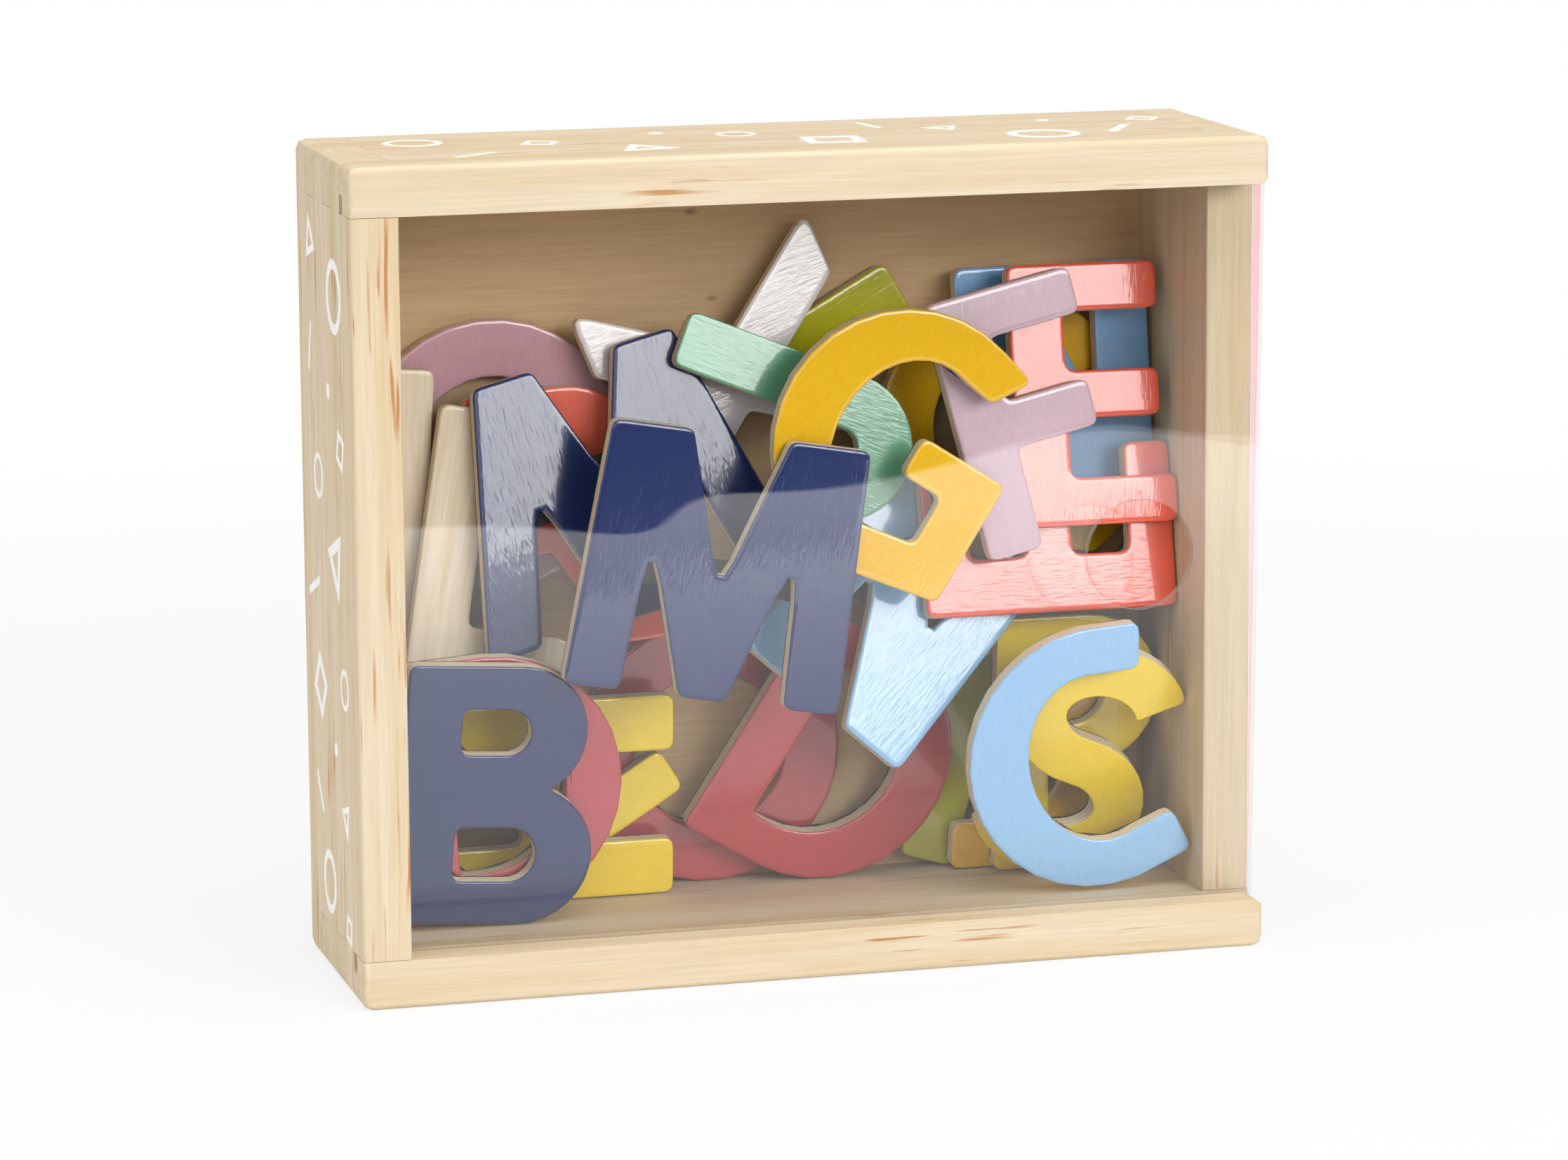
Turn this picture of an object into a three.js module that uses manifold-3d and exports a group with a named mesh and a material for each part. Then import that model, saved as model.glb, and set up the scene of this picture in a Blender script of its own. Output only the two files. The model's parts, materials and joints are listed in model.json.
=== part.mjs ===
// Magnetic letter set: a finger-jointed pine box, a clear lid that slides in grooves to the right,
// and a heap of lacquered plywood letters, each with a magnetic foil glued over its back.
// Millimetres, +Z up. X runs along the width and +Y goes to the back. The origin is on the ground
// under the middle of the box.
import * as THREE from 'three';
import { mergeVertices } from 'three/addons/utils/BufferGeometryUtils.js';
import Module from 'manifold-3d';

const wasm = await Module();
wasm.setup();

// Box
const boxWidth = 200;
const boxDepth = 60;
const boxHeight = 178;
const wallThickness = 10.5;
const edgeRadius = 1.2;
const railEndRadius = 2.5;
const glueLine = 0.1;

// Finger joints, from the front: one wide finger that holds the groove, then narrow ones
const frontFinger = 12;
const fingerWidth = 9;
const sideFingerCount = 3;

// Back panel, let into a rebate in the four walls
const panelThickness = 4;
const panelRebate = 5;

// Sliding lid and its groove
const railLip = 7.5;
const lidThickness = 2.5;
const lidPlay = 0.3;
const grooveDepth = 4;
const lidOverhangTop = 1.8;
const lidOverhangBottom = 0;
const fingerHoleRadius = 12;
const fingerHoleFromEnd = 26;
const fingerHoleHeight = 87;

// Letters
const letterHeight = 57.5;
const stemWidth = 12.4;
const armWidth = 10.4;
const plyThickness = 3.6;
const foilThickness = 0.4;
const cornerRadius = 2.2;
const roundOvershoot = 0.9;
const seatGap = 0.3;
const lidClearance = 1;

// Fineness of the rounded outlines, and of the map that lays the heap
const plyFineness = { arcStep: 12, cornerSteps: 3 };
const foilFineness = { arcStep: 24, cornerSteps: 1 };
const sharpTurn = 30;
const cornerShare = 0.45;
const boxEdgeSteps = 2;
const railEndSteps = 24;
const mapCellsPerStem = 25;
const leanStep = 0.1;

// Values that follow from these
const halfWidth = boxWidth / 2;
const halfDepth = boxDepth / 2;
const innerLeft = -halfWidth + wallThickness;
const innerRight = halfWidth - wallThickness;
const innerFloor = wallThickness;
const innerCeiling = boxHeight - wallThickness;
const grooveFront = -halfDepth + railLip;
const grooveBack = grooveFront + lidThickness + 2 * lidPlay;
const lidBack = grooveBack - lidPlay;
const panelFront = halfDepth - panelThickness;
const capHalf = letterHeight / 2;
const heapMapStep = stemWidth / mapCellsPerStem;
const cuttingMargin = 1;

const model = new THREE.Group();
const { degToRad, clamp } = THREE.MathUtils;

// Solids

function solidOf(geometry) {
  geometry.deleteAttribute('normal');
  geometry.deleteAttribute('uv');
  const merged = mergeVertices(geometry);
  const mesh = new wasm.Mesh({
    numProp: 3,
    vertProperties: Float32Array.from(merged.attributes.position.array),
    triVerts: Uint32Array.from(merged.index.array),
  });
  return new wasm.Manifold(mesh);
}

function geometryOf(solid) {
  const mesh = solid.getMesh();
  const geometry = new THREE.BufferGeometry();
  geometry.setAttribute('position', new THREE.BufferAttribute(mesh.vertProperties, 3));
  geometry.setIndex(new THREE.BufferAttribute(mesh.triVerts, 1));
  return geometry;
}

function block(x0, x1, y0, y1, z0, z1) {
  const geometry = new THREE.BoxGeometry(x1 - x0, y1 - y0, z1 - z0);
  geometry.translate((x0 + x1) / 2, (y0 + y1) / 2, (z0 + z1) / 2);
  return solidOf(geometry);
}

function addMesh(parent, name, geometry, color, roughness) {
  const material = new THREE.MeshStandardMaterial({ color, roughness, metalness: 0 });
  const mesh = new THREE.Mesh(geometry, material);
  mesh.name = name;
  parent.add(mesh);
  return mesh;
}

// Outlines

function path(...pairs) {
  return pairs.map(([x, y]) => new THREE.Vector2(x, y));
}

function polar(radius, angle) {
  return new THREE.Vector2(radius * Math.cos(degToRad(angle)), radius * Math.sin(degToRad(angle)));
}

function arc(centreX, centreY, radiusX, radiusY, fromAngle, toAngle, arcStep) {
  const steps = Math.max(2, Math.ceil(Math.abs(toAngle - fromAngle) / arcStep));
  return Array.from({ length: steps + 1 }, (_, i) => {
    const angle = degToRad(fromAngle + ((toAngle - fromAngle) * i) / steps);
    return new THREE.Vector2(centreX + radiusX * Math.cos(angle), centreY + radiusY * Math.sin(angle));
  });
}

function ring(radius, arcStep) {
  return arc(0, 0, radius, radius, 0, 360, arcStep).slice(1);
}

// Rounds each corner that turns by more than sharpTurn degrees. A rounding takes no more than cornerShare
// of either edge beside it.
function soften(points, radius, cornerSteps) {
  const rounded = [];
  points.forEach((corner, i) => {
    const before = points[(i + points.length - 1) % points.length].clone().sub(corner);
    const after = points[(i + 1) % points.length].clone().sub(corner);
    const cosine = before.dot(after) / (before.length() * after.length());
    const opening = Math.acos(clamp(cosine, -1, 1));
    if (Math.PI - opening < degToRad(sharpTurn)) {
      rounded.push(corner);
      return;
    }
    const room = Math.min(before.length(), after.length()) * cornerShare;
    const reach = Math.min(radius / Math.tan(opening / 2), room);
    const start = corner.clone().addScaledVector(before.normalize(), reach);
    const end = corner.clone().addScaledVector(after.normalize(), reach);
    rounded.push(...new THREE.QuadraticBezierCurve(start, corner, end).getPoints(cornerSteps));
  });
  return rounded;
}

// Letter outlines, each centred on the middle of its cap height

function letterE() {
  const left = -0.317 * letterHeight;
  const inner = left + stemWidth;
  const bottomEnd = left + 0.635 * letterHeight;
  const middleEnd = left + 0.585 * letterHeight;
  const topEnd = left + 0.595 * letterHeight;
  const half = armWidth / 2;
  return [path(
    [left, -capHalf], [bottomEnd, -capHalf],
    [bottomEnd, -capHalf + armWidth], [inner, -capHalf + armWidth],
    [inner, -half], [middleEnd, -half], [middleEnd, half], [inner, half],
    [inner, capHalf - armWidth], [topEnd, capHalf - armWidth], [topEnd, capHalf], [left, capHalf],
  )];
}

function letterF() {
  const left = -0.295 * letterHeight;
  const inner = left + stemWidth;
  const middleEnd = left + 0.55 * letterHeight;
  const topEnd = left + 0.59 * letterHeight;
  const middle = -0.02 * letterHeight;
  const half = armWidth / 2;
  return [path(
    [left, -capHalf], [inner, -capHalf], [inner, middle - half], [middleEnd, middle - half],
    [middleEnd, middle + half], [inner, middle + half], [inner, capHalf - armWidth],
    [topEnd, capHalf - armWidth], [topEnd, capHalf], [left, capHalf],
  )];
}

function letterL() {
  const left = -0.305 * letterHeight;
  const inner = left + stemWidth;
  const end = -left;
  return [path(
    [left, -capHalf], [end, -capHalf], [end, -capHalf + armWidth],
    [inner, -capHalf + armWidth], [inner, capHalf], [left, capHalf],
  )];
}

function letterI() {
  const half = stemWidth / 2;
  return [path([-half, -capHalf], [half, -capHalf], [half, capHalf], [-half, capHalf])];
}

function letterH() {
  const outer = 0.39 * letterHeight;
  const inner = outer - stemWidth;
  const bar = armWidth / 2;
  return [path(
    [-outer, -capHalf], [-inner, -capHalf], [-inner, -bar],
    [inner, -bar], [inner, -capHalf], [outer, -capHalf],
    [outer, capHalf], [inner, capHalf], [inner, bar],
    [-inner, bar], [-inner, capHalf], [-outer, capHalf],
  )];
}

function letterN() {
  const outer = 0.385 * letterHeight;
  const inner = outer - stemWidth;
  const diagonalFoot = 0.115 * letterHeight;
  const diagonalJoin = 0.08 * letterHeight;
  return [path(
    [-outer, -capHalf], [-inner, -capHalf], [-inner, diagonalJoin],
    [diagonalFoot, -capHalf], [outer, -capHalf],
    [outer, capHalf], [inner, capHalf], [inner, -diagonalJoin],
    [-diagonalFoot, capHalf], [-outer, capHalf],
  )];
}

function letterM() {
  const foot = 0.535 * letterHeight;
  const footInner = foot - stemWidth;
  const shoulder = 0.5 * letterHeight;
  const notchHalf = 0.19 * letterHeight;
  const notchBottom = -0.09 * letterHeight;
  const vertexHalf = 0.09 * letterHeight;
  const crotchX = 0.285 * letterHeight;
  const crotchY = 0.1 * letterHeight;
  return [path(
    [-foot, -capHalf], [-footInner, -capHalf], [-crotchX, crotchY], [-vertexHalf, -capHalf],
    [vertexHalf, -capHalf], [crotchX, crotchY], [footInner, -capHalf], [foot, -capHalf],
    [shoulder, capHalf], [notchHalf, capHalf], [0, notchBottom],
    [-notchHalf, capHalf], [-shoulder, capHalf],
  )];
}

function letterW() {
  const reach = 0.645 * letterHeight;
  const reachInner = reach - stemWidth;
  const foot = 0.4 * letterHeight;
  const footInner = 0.165 * letterHeight;
  const notch = -0.02 * letterHeight;
  const vertexHalf = 0.11 * letterHeight;
  const crotchX = 0.285 * letterHeight;
  const crotchY = -0.06 * letterHeight;
  return [path(
    [-foot, -capHalf], [-footInner, -capHalf], [0, notch], [footInner, -capHalf], [foot, -capHalf],
    [reach, capHalf], [reachInner, capHalf], [crotchX, crotchY], [vertexHalf, capHalf],
    [-vertexHalf, capHalf], [-crotchX, crotchY], [-reachInner, capHalf], [-reach, capHalf],
  )];
}

function letterX() {
  const spread = 0.35 * letterHeight;
  const slantWidth = 1.2 * stemWidth;
  const half = slantWidth / 2;
  const crotch = (capHalf * half) / spread;
  return [path(
    [-spread - half, -capHalf], [-spread + half, -capHalf], [0, -crotch], [spread - half, -capHalf],
    [spread + half, -capHalf], [half, 0], [spread + half, capHalf], [spread - half, capHalf],
    [0, crotch], [-spread + half, capHalf], [-spread - half, capHalf], [-half, 0],
  )];
}

// Round letters stand a little over the cap height, as in most alphabets.
const roundHalf = capHalf + roundOvershoot;

function letterO(arcStep) {
  return [ring(roundHalf, arcStep), ring(roundHalf - stemWidth, arcStep)];
}

function letterQ(arcStep) {
  const tailRight = -30;
  const tailLeft = 290;
  const tailEnd = path(
    [0.34 * letterHeight, -0.51 * letterHeight], [0.485 * letterHeight, -0.385 * letterHeight],
  );
  const outline = [...arc(0, 0, roundHalf, roundHalf, tailRight, tailLeft, arcStep), ...tailEnd];
  return [outline, ring(roundHalf - stemWidth, arcStep)];
}

// A ring that is open on the right, with its two ends spread a little outwards
const mouthAngle = 56;
const bendAngle = 74;
const tipAngle = 60;
const tipCut = 77;
const endOuter = 1.06 * roundHalf;
const endInner = endOuter - armWidth;
const ringInnerX = roundHalf - 1.1 * stemWidth;
const ringInnerY = roundHalf - armWidth;

function letterC(arcStep) {
  const upperTip = polar(endOuter, tipAngle);
  const lowerTip = polar(endOuter, -tipAngle);
  return [[
    upperTip,
    ...arc(0, 0, roundHalf, roundHalf, bendAngle, 360 - bendAngle, arcStep),
    lowerTip, lowerTip.clone().sub(polar(armWidth, -tipCut)),
    ...arc(0, 0, ringInnerX, ringInnerY, 360 - bendAngle, bendAngle, arcStep),
    upperTip.clone().sub(polar(armWidth, tipCut)),
  ]];
}

function letterG(arcStep) {
  const right = 0.42 * letterHeight;
  const barLeft = 0.045 * letterHeight;
  const barTop = 0.065 * letterHeight;
  const barBottom = barTop - 0.9 * armWidth;
  const stemLeft = right - 0.9 * stemWidth;
  const footBottom = -0.443 * letterHeight;
  const footTop = footBottom + 0.8 * armWidth;
  const footAngle = 285;
  return [[
    polar(endOuter, mouthAngle),
    ...arc(0, 0, roundHalf, roundHalf, bendAngle, footAngle, arcStep),
    ...path([right, footBottom], [right, barTop], [barLeft, barTop]),
    ...path([barLeft, barBottom], [stemLeft, barBottom], [stemLeft, footTop]),
    ...arc(0, 0, ringInnerX, ringInnerY, footAngle, bendAngle, arcStep),
    polar(endInner, mouthAngle),
  ]];
}

// The outer arc of a bowl on a stem, and the hole inside it
function bowl(left, straight, bottom, top, arcStep, fromAngle = -90, toAngle = 90) {
  const half = (top - bottom) / 2;
  const middle = (top + bottom) / 2;
  const inner = left + stemWidth;
  const holeHalf = half - 0.92 * armWidth;
  const holeRight = left + straight + half - stemWidth;
  const outer = arc(left + straight, middle, half, half, fromAngle, toAngle, arcStep);
  const hole = [
    ...path([inner, middle - holeHalf]),
    ...arc(holeRight - holeHalf, middle, holeHalf, holeHalf, -90, 90, arcStep),
    ...path([inner, middle + holeHalf]),
  ];
  return { outer, hole };
}

function letterD(arcStep) {
  const left = -0.42 * letterHeight;
  const { outer, hole } = bowl(left, 0.36 * letterHeight, -capHalf, capHalf, arcStep);
  return [[...path([left, -capHalf]), ...outer, ...path([left, capHalf])], hole];
}

function letterB(arcStep) {
  const left = -0.372 * letterHeight;
  const lowerTop = 0.04 * letterHeight;
  const upperBottom = -0.01 * letterHeight;
  const waistAngle = 60;
  const lower = bowl(left, 0.475 * letterHeight, -capHalf, lowerTop, arcStep, -90, waistAngle);
  const upper = bowl(left, 0.44 * letterHeight, upperBottom, capHalf, arcStep, -waistAngle, 90);
  const outline = [...path([left, -capHalf]), ...lower.outer, ...upper.outer, ...path([left, capHalf])];
  return [outline, lower.hole, upper.hole];
}

function letterP(arcStep) {
  const left = -0.33 * letterHeight;
  const inner = left + stemWidth;
  const waist = -0.1 * letterHeight;
  const { outer, hole } = bowl(left, 0.36 * letterHeight, waist, capHalf, arcStep);
  const foot = path([left, -capHalf], [inner, -capHalf], [inner, waist]);
  return [[...foot, ...outer, ...path([left, capHalf])], hole];
}

function letterR(arcStep) {
  const left = -0.36 * letterHeight;
  const inner = left + stemWidth;
  const waist = -0.12 * letterHeight;
  const legRight = 0.38 * letterHeight;
  const legLeft = legRight - 1.15 * stemWidth;
  const legJoin = inner + 0.07 * letterHeight;
  const hipX = 0.18 * letterHeight;
  const hipY = -0.08 * letterHeight;
  const hipAngle = -55;
  const { outer, hole } = bowl(left, 0.38 * letterHeight, waist, capHalf, arcStep, hipAngle, 90);
  const legs = path(
    [left, -capHalf], [inner, -capHalf], [inner, waist], [legJoin, waist],
    [legLeft, -capHalf], [legRight, -capHalf], [hipX, hipY],
  );
  return [[...legs, ...outer, ...path([left, capHalf])], hole];
}

function letterJ(arcStep) {
  const right = 0.27 * letterHeight;
  const hookHalf = 0.285 * letterHeight;
  const hookX = right - hookHalf;
  const hookY = -capHalf + hookHalf;
  const innerHalf = hookHalf - stemWidth;
  const hookEnd = 200;
  return [[
    ...path([right, capHalf], [right - stemWidth, capHalf]),
    ...arc(hookX, hookY, innerHalf, innerHalf, 360, hookEnd, 2 * arcStep),
    ...arc(hookX, hookY, hookHalf, hookHalf, hookEnd, 360, arcStep),
  ]];
}

// Two bowls on one spine: the upper one is open on the right and the lower one on the left.
function letterS(arcStep) {
  const half = 0.47 * stemWidth;
  const reach = 0.25 * letterHeight;
  const bowlHalf = (capHalf - half) / 2;
  const openAngle = 28;
  const joinAngle = 75;
  const upper = arc(0, bowlHalf, reach, bowlHalf, openAngle, 180 + joinAngle, arcStep);
  const lower = arc(0, -bowlHalf, reach, bowlHalf, joinAngle, -180 + openAngle, arcStep);
  const spine = [...upper, ...lower];
  const leftSide = [];
  const rightSide = [];
  spine.forEach((point, i) => {
    const before = spine[Math.max(i - 1, 0)];
    const after = spine[Math.min(i + 1, spine.length - 1)];
    const along = after.clone().sub(before).normalize();
    const across = new THREE.Vector2(-along.y, along.x).multiplyScalar(half);
    leftSide.push(point.clone().add(across));
    rightSide.push(point.clone().sub(across));
  });
  return [[...leftSide, ...rightSide.reverse()].reverse()];
}

const alphabet = {
  B: letterB, C: letterC, D: letterD, E: letterE, F: letterF, G: letterG, H: letterH,
  I: letterI, J: letterJ, L: letterL, M: letterM, N: letterN, O: letterO,
  P: letterP, Q: letterQ, R: letterR, S: letterS, W: letterW, X: letterX,
};

function slabOf(glyph, thickness, { arcStep, cornerSteps }) {
  const rings = alphabet[glyph](arcStep);
  const [outline, ...holes] = rings.map((points) => soften(points, cornerRadius, cornerSteps));
  const shape = new THREE.Shape(outline);
  shape.holes = holes.map((hole) => new THREE.Path(hole));
  return new THREE.ExtrudeGeometry(shape, { depth: thickness, bevelEnabled: false });
}

// Box walls: boards with interlocking fingers, cut from one rounded block

const pine = 0xeed9b4;
const sideFingers = Array.from({ length: sideFingerCount }, (_, i) => {
  const start = -halfDepth + frontFinger + 2 * i * fingerWidth;
  return { start, end: start + fingerWidth };
});

function roundedBlock() {
  const right = halfWidth - edgeRadius;
  const left = -right;
  const top = boxHeight - edgeRadius;
  const corners = path([left, edgeRadius], [right, edgeRadius], [right, top], [left, top]);
  const shape = new THREE.Shape(soften(corners, edgeRadius, boxEdgeSteps));
  const geometry = new THREE.ExtrudeGeometry(shape, {
    depth: boxDepth - 2 * edgeRadius,
    bevelSize: edgeRadius,
    bevelThickness: edgeRadius,
    bevelSegments: boxEdgeSteps,
  });
  geometry.rotateX(Math.PI / 2);
  geometry.translate(0, halfDepth - edgeRadius, 0);
  return solidOf(geometry);
}

const envelope = roundedBlock();
const lidGroove = block(
  innerLeft - grooveDepth, halfWidth + cuttingMargin, grooveFront, grooveBack,
  innerFloor - grooveDepth, innerCeiling + grooveDepth,
);
const lidSlots = block(
  -halfWidth - cuttingMargin, innerLeft, grooveFront, grooveBack,
  innerFloor - grooveDepth, innerFloor,
).add(block(
  -halfWidth - cuttingMargin, innerLeft, grooveFront, grooveBack,
  innerCeiling, innerCeiling + grooveDepth,
));
const panelRecess = block(
  innerLeft - panelRebate, innerRight + panelRebate, panelFront - glueLine, halfDepth + cuttingMargin,
  innerFloor - panelRebate, innerCeiling + panelRebate,
);

// What the fingers of the side walls take out of the top and bottom walls, with room for the glue
const cornerSpans = [[-halfWidth - cuttingMargin, innerLeft], [innerRight, halfWidth + cuttingMargin]];

function fingerPockets(z0, z1) {
  let pockets = null;
  sideFingers.forEach(({ start, end }) => {
    cornerSpans.forEach(([x0, x1]) => {
      const pocket = block(x0, x1, start, end, z0 - cuttingMargin, z1 + cuttingMargin);
      pockets = pockets ? pockets.add(pocket) : pocket;
    });
  });
  return pockets;
}

// The piece that rounds a rail's free right end at its lower face (side -1) or its upper face (side 1)
function railEndCut(z, side) {
  const inside = z - side * railEndRadius;
  const outside = z + side * cuttingMargin;
  const corner = block(
    halfWidth - railEndRadius, halfWidth + cuttingMargin, -halfDepth - cuttingMargin, grooveBack,
    Math.min(inside, outside), Math.max(inside, outside),
  );
  const round = new THREE.CylinderGeometry(railEndRadius, railEndRadius, 2 * boxDepth, railEndSteps);
  round.translate(halfWidth - railEndRadius, 0, inside);
  return corner.subtract(solidOf(round));
}

function addRail(name, z0, z1) {
  const board = block(-halfWidth, halfWidth, -halfDepth, halfDepth, z0, z1).intersect(envelope);
  const solid = board.subtract(fingerPockets(z0, z1)).subtract(lidGroove).subtract(lidSlots)
    .subtract(panelRecess).subtract(railEndCut(z0, -1)).subtract(railEndCut(z1, 1));
  addMesh(model, name, geometryOf(solid), pine, 0.6);
}

function addSideWall(name, x0, x1, front) {
  const z0 = innerFloor + glueLine;
  const z1 = innerCeiling - glueLine;
  let board = block(x0, x1, front, halfDepth, z0, z1);
  sideFingers.forEach(({ start, end }) => {
    board = board.add(block(x0, x1, start + glueLine, end - glueLine, 0, boxHeight));
  });
  const solid = board.intersect(envelope).subtract(lidGroove).subtract(panelRecess);
  addMesh(model, name, geometryOf(solid), pine, 0.6);
}

addRail('top_wall', innerCeiling, boxHeight);
addRail('bottom_wall', 0, innerFloor);
addSideWall('left_wall', -halfWidth, innerLeft - glueLine, -halfDepth);
addSideWall('right_wall', innerRight + glueLine, halfWidth, grooveBack);

function addBackPanel() {
  const panel = new THREE.BoxGeometry(
    innerRight - innerLeft + 2 * (panelRebate - glueLine),
    panelThickness,
    innerCeiling - innerFloor + 2 * (panelRebate - glueLine),
  );
  const mesh = addMesh(model, 'back_panel', panel, 0xd8be96, 0.65);
  mesh.position.set(0, panelFront + panelThickness / 2, boxHeight / 2);
}

// The lid fills its grooves but for the play. Its right end is cut slightly out of square.
function addLid() {
  const left = innerLeft - grooveDepth + lidPlay;
  const bottom = innerFloor - grooveDepth + lidPlay;
  const top = innerCeiling + grooveDepth - lidPlay;
  const shape = new THREE.Shape(path(
    [left, bottom], [halfWidth + lidOverhangBottom, bottom], [halfWidth + lidOverhangTop, top], [left, top],
  ));
  const holeCentre = new THREE.Vector2(halfWidth - fingerHoleFromEnd, fingerHoleHeight);
  const fingerHole = ring(fingerHoleRadius, plyFineness.arcStep).map((point) => point.add(holeCentre));
  shape.holes = [new THREE.Path(fingerHole)];
  const sheet = new THREE.ExtrudeGeometry(shape, { depth: lidThickness, bevelEnabled: false });
  const mesh = addMesh(model, 'sliding_lid', sheet, 0xf4f6f5, 0.08);
  mesh.rotation.x = Math.PI / 2;
  mesh.position.y = lidBack;
}

addBackPanel();
addLid();

// Heap of letters

const paints = {
  mauve: 0xb98f9c, lilac: 0xcdafbc, natural: 0xe1cda5, ochre: 0xedb90a, yellow: 0xe3c431, lime: 0x8f9a1b,
  darkRed: 0xa8323a, rose: 0xc65868, orangeRed: 0xe14b3c, coral: 0xe2583f, white: 0xe1dcdc, navy: 0x1f2d5c,
  steelBlue: 0x4f80b0, lightBlue: 0x8fbde5, mint: 0x6bae87,
};
const foilBlack = 0x16161a;

// Back to front. across and up share out the room that the turned letter leaves between the walls, from the
// left and from the floor. turn is anticlockwise in the letter's plane, and lean tips its top to the back.
const heap = [
  { name: 'mauve_o', glyph: 'O', paint: 'mauve', across: 0, up: 0.701, turn: 0, lean: 2 },
  { name: 'natural_i', glyph: 'I', paint: 'natural', across: 0, up: 0.613, turn: -4, lean: 3 },
  { name: 'ochre_q', glyph: 'Q', paint: 'ochre', across: 0.978, up: 0.714, turn: 0, lean: 4 },
  { name: 'lime_i', glyph: 'I', paint: 'lime', across: 0.557, up: 0.825, turn: -61, lean: 4 },
  { name: 'dark_red_o', glyph: 'O', paint: 'darkRed', across: 0.404, up: 0, turn: 0, lean: 1 },
  { name: 'lime_f', glyph: 'F', paint: 'lime', across: 0.934, up: 0, turn: -17, lean: 2 },
  { name: 'ochre_c', glyph: 'C', paint: 'ochre', across: 0.95, up: 0, turn: 190, lean: -2 },
  { name: 'yellow_p', glyph: 'P', paint: 'yellow', across: 1, up: 0, turn: 0, lean: -2 },
  { name: 'yellow_s', glyph: 'S', paint: 'yellow', across: 1, up: 0, turn: -19, lean: -20 },
  { name: 'steel_blue_n', glyph: 'N', paint: 'steelBlue', across: 1, up: 0.786, turn: 1, lean: 6 },
  { name: 'orange_r', glyph: 'R', paint: 'orangeRed', across: 0.165, up: 0.552, turn: 5, lean: 4 },
  { name: 'yellow_l', glyph: 'L', paint: 'yellow', across: 0.092, up: 0.045, turn: 32, lean: 0 },
  { name: 'dark_red_d', glyph: 'D', paint: 'darkRed', across: 0.596, up: 0, turn: -31, lean: -8 },
  { name: 'white_x', glyph: 'X', paint: 'white', across: 0.438, up: 0.893, turn: -69, lean: 8 },
  { name: 'light_blue_n', glyph: 'N', paint: 'lightBlue', across: 0.748, up: 0.324, turn: -42, lean: 12 },
  { name: 'natural_l', glyph: 'L', paint: 'natural', across: 0.05, up: 0.515, turn: -10, lean: 5 },
  { name: 'navy_w', glyph: 'W', paint: 'navy', across: 0.212, up: 0.643, turn: 194.5, lean: 9 },
  { name: 'mint_j', glyph: 'J', paint: 'mint', across: 0.527, up: 0.752, turn: 67.5, lean: 9 },
  { name: 'yellow_h', glyph: 'H', paint: 'yellow', across: 0.077, up: 0, turn: 90, lean: -3 },
  { name: 'rose_d', glyph: 'D', paint: 'rose', across: 0.003, up: 0, turn: 4, lean: -3 },
  { name: 'navy_b', glyph: 'B', paint: 'navy', across: 0, up: 0, turn: -4, lean: -5 },
  { name: 'coral_e_lying', glyph: 'E', paint: 'coral', across: 1, up: 0.501, turn: 90, lean: 12 },
  { name: 'coral_e_upright', glyph: 'E', paint: 'coral', across: 1, up: 0.798, turn: 0, lean: 11 },
  { name: 'lilac_f', glyph: 'F', paint: 'lilac', across: 0.861, up: 0.787, turn: 13, lean: 8 },
  { name: 'ochre_g', glyph: 'G', paint: 'ochre', across: 0.693, up: 0.719, turn: -33, lean: 2 },
  { name: 'light_blue_c', glyph: 'C', paint: 'lightBlue', across: 0.996, up: 0.008, turn: 15, lean: -5 },
  { name: 'navy_m', glyph: 'M', paint: 'navy', across: 0.328, up: 0.488, turn: -10, lean: 1 },
];

// The heap's map is a grid over the inside of the box, which holds the depth of the heap's front at each point.
const mapColumns = Math.ceil((innerRight - innerLeft) / heapMapStep) + 1;
const mapRows = Math.ceil((innerCeiling - innerFloor) / heapMapStep) + 1;

// Calls visit(cell, depth) for the grid points under a triangle.
function mapFace(a, b, c, visit) {
  const doubleArea = (p, q, r) => (q.x - p.x) * (r.z - p.z) - (r.x - p.x) * (q.z - p.z);
  const area = doubleArea(a, b, c);
  if (area === 0) return;
  const columnAt = (x) => clamp((x - innerLeft) / heapMapStep, 0, mapColumns - 1);
  const rowAt = (z) => clamp((z - innerFloor) / heapMapStep, 0, mapRows - 1);
  const firstColumn = Math.ceil(columnAt(Math.min(a.x, b.x, c.x)));
  const lastColumn = Math.floor(columnAt(Math.max(a.x, b.x, c.x)));
  const firstRow = Math.ceil(rowAt(Math.min(a.z, b.z, c.z)));
  const lastRow = Math.floor(rowAt(Math.max(a.z, b.z, c.z)));
  for (let row = firstRow; row <= lastRow; row += 1) {
    for (let column = firstColumn; column <= lastColumn; column += 1) {
      const point = { x: innerLeft + column * heapMapStep, z: innerFloor + row * heapMapStep };
      const shareB = doubleArea(a, point, c) / area;
      const shareC = doubleArea(a, b, point) / area;
      const shareA = 1 - shareB - shareC;
      if (shareA >= 0 && shareB >= 0 && shareC >= 0) {
        visit(row * mapColumns + column, shareA * a.y + shareB * b.y + shareC * c.y);
      }
    }
  }
}

// Calls visit(cell, depth) for the four grid points around each point of an edge.
function mapEdge(a, b, visit) {
  const steps = Math.ceil(a.distanceTo(b) / heapMapStep);
  for (let i = 0; i <= steps; i += 1) {
    const point = a.clone().lerp(b, i / steps);
    const column = clamp(Math.floor((point.x - innerLeft) / heapMapStep), 0, mapColumns - 2);
    const row = clamp(Math.floor((point.z - innerFloor) / heapMapStep), 0, mapRows - 2);
    const cell = row * mapColumns + column;
    [cell, cell + 1, cell + mapColumns, cell + mapColumns + 1].forEach((near) => visit(near, point.y));
  }
}

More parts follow.
